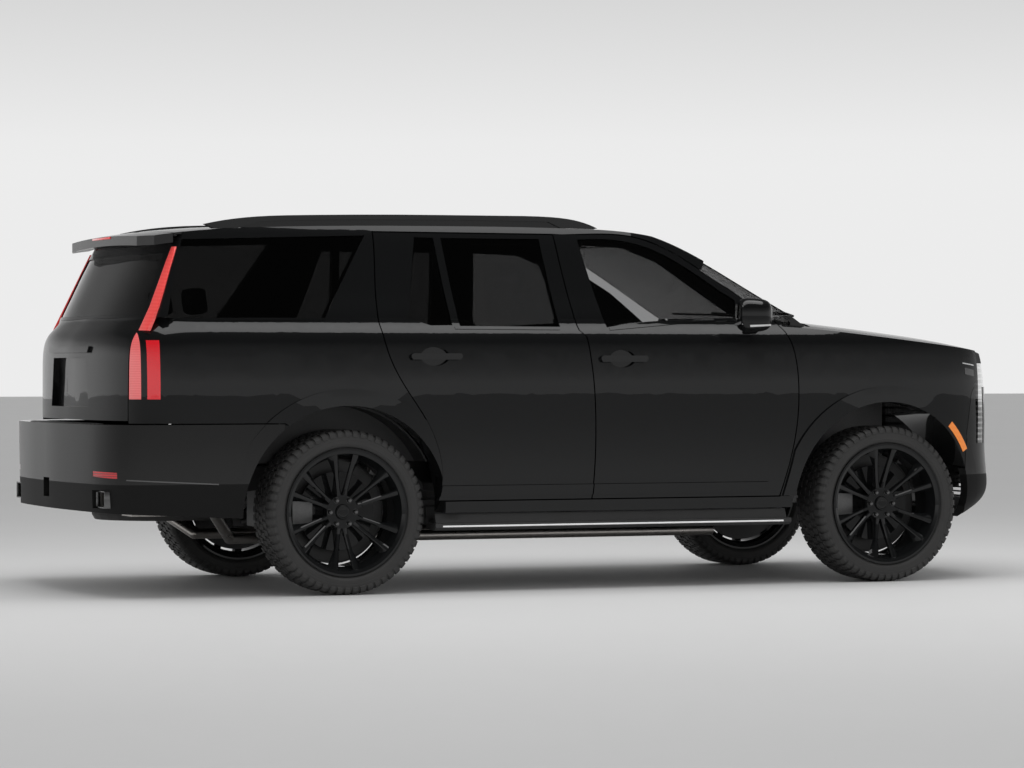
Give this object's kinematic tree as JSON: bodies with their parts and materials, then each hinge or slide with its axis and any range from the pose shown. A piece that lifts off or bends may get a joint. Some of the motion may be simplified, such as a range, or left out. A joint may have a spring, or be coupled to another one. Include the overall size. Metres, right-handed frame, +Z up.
{
  "type": "full-size suv",
  "caption": "Full-size sport utility vehicle with opening doors, hood and tailgate, steered front wheels and three seat rows.",
  "frame": {"origin": "on the ground under the middle of the vehicle", "axes": "+X towards the front, +Y to the left, +Z up"},
  "size_m": [5.3, 2.384, 1.9348],
  "materials": {
    "black_paint": "high gloss",
    "dark_glass": "tinted, clear gloss",
    "gloss_black_trim": "gloss",
    "black_plastic": "satin",
    "tyre_rubber": "matt",
    "black_wheel": "gloss black",
    "frame_steel": "satin black",
    "cast_metal": "as cast",
    "exhaust_steel": "satin",
    "red_lamp": "clear red gloss",
    "clear_lamp": "clear gloss",
    "amber_lamp": "clear amber gloss",
    "seat_leather": "satin",
    "dash_trim": "satin"
  },
  "bodies": {
    "body": {"body_side_left": "black_paint", "body_side_right": "black_paint", "roof_panel": "black_paint", "cowl": "black_paint", "front_fenders": "black_paint", "front_bumper": "black_paint", "rear_bumper": "black_paint", "windscreen": "dark_glass", "quarter_glass": "dark_glass", "grille": "gloss_black_trim", "roof_rails": "gloss_black_trim", "side_steps": "black_plastic", "fuel_tank": "black_plastic", "spare_wheel": "tyre_rubber", "chassis_frame": "frame_steel", "floor_pan": "frame_steel", "front_suspension": "cast_metal", "rear_suspension": "cast_metal", "engine_block": "cast_metal", "exhaust": "exhaust_steel", "tail_lamps": "red_lamp", "headlamps": "clear_lamp", "side_markers": "amber_lamp", "front_seats": "seat_leather", "middle_seats": "seat_leather", "rear_bench": "seat_leather", "dashboard": "dash_trim"},
    "wheel_front_left": {"tyre_front_left": "tyre_rubber", "rim_front_left": "black_wheel"},
    "wheel_front_right": {"tyre_front_right": "tyre_rubber", "rim_front_right": "black_wheel"},
    "wheel_rear_left": {"tyre_rear_left": "tyre_rubber", "rim_rear_left": "black_wheel"},
    "wheel_rear_right": {"tyre_rear_right": "tyre_rubber", "rim_rear_right": "black_wheel"},
    "knuckle_left": {"knuckle_left": "cast_metal"},
    "knuckle_right": {"knuckle_right": "cast_metal"},
    "steering_wheel": {"steering_wheel": "dash_trim"},
    "door_front_left": {"door_front_left": "black_paint", "door_glass_front_left": "dark_glass", "mirror_left": "gloss_black_trim"},
    "door_front_right": {"door_front_right": "black_paint", "door_glass_front_right": "dark_glass", "mirror_right": "gloss_black_trim"},
    "door_rear_left": {"door_rear_left": "black_paint", "door_glass_rear_left": "dark_glass"},
    "door_rear_right": {"door_rear_right": "black_paint", "door_glass_rear_right": "dark_glass"},
    "hood": {"hood": "black_paint"},
    "tailgate": {"tailgate": "black_paint", "tailgate_glass": "dark_glass"}
  },
  "joints": [
    {"name": "steer_left", "type": "hinge", "parent": "body", "child": "knuckle_left", "pos_m": [1.705, 0.77, 0.417], "axis": [0, 0, 1], "range_deg": [-33, 33]},
    {"name": "spin_front_left", "type": "hinge", "parent": "knuckle_left", "child": "wheel_front_left", "pos_m": [1.705, 0.8685, 0.417], "axis": [0, 1, 0], "continuous": true},
    {"name": "spin_rear_left", "type": "hinge", "parent": "body", "child": "wheel_rear_left", "pos_m": [-1.366, 0.8685, 0.417], "axis": [0, 1, 0], "continuous": true},
    {"name": "swing_door_front_left", "type": "hinge", "parent": "body", "child": "door_front_left", "pos_m": [1.116, 1.008, 0.95], "axis": [0, 0, -1], "range_deg": [0, 67]},
    {"name": "swing_door_rear_left", "type": "hinge", "parent": "body", "child": "door_rear_left", "pos_m": [-0.0603, 1.008, 0.95], "axis": [0, 0, -1], "range_deg": [0, 67]},
    {"name": "steer_right", "type": "hinge", "parent": "body", "child": "knuckle_right", "pos_m": [1.705, -0.77, 0.417], "axis": [0, 0, 1], "range_deg": [-33, 33]},
    {"name": "spin_front_right", "type": "hinge", "parent": "knuckle_right", "child": "wheel_front_right", "pos_m": [1.705, -0.8685, 0.417], "axis": [0, 1, 0], "continuous": true},
    {"name": "spin_rear_right", "type": "hinge", "parent": "body", "child": "wheel_rear_right", "pos_m": [-1.366, -0.8685, 0.417], "axis": [0, 1, 0], "continuous": true},
    {"name": "swing_door_front_right", "type": "hinge", "parent": "body", "child": "door_front_right", "pos_m": [1.116, -1.008, 0.95], "axis": [0, 0, 1], "range_deg": [0, 67]},
    {"name": "swing_door_rear_right", "type": "hinge", "parent": "body", "child": "door_rear_right", "pos_m": [-0.0603, -1.008, 0.95], "axis": [0, 0, 1], "range_deg": [0, 67]},
    {"name": "turn_steering_wheel", "type": "hinge", "parent": "body", "child": "steering_wheel", "pos_m": [0.66, 0.4, 1.03], "axis": [-0.9135, 0, 0.4067], "range_deg": [-500, 500]},
    {"name": "lift_hood", "type": "hinge", "parent": "body", "child": "hood", "pos_m": [1.25, 0, 1.33], "axis": [0, -1, 0], "range_deg": [0, 50]},
    {"name": "lift_tailgate", "type": "hinge", "parent": "body", "child": "tailgate", "pos_m": [-2.2005, 0, 1.841], "axis": [0, 1, 0], "range_deg": [0, 80]}
  ],
  "couplings": [
    {"joint": "steer_right", "follows": "steer_left", "ratio": 1},
    {"joint": "turn_steering_wheel", "follows": "steer_left", "ratio": 15}
  ]
}
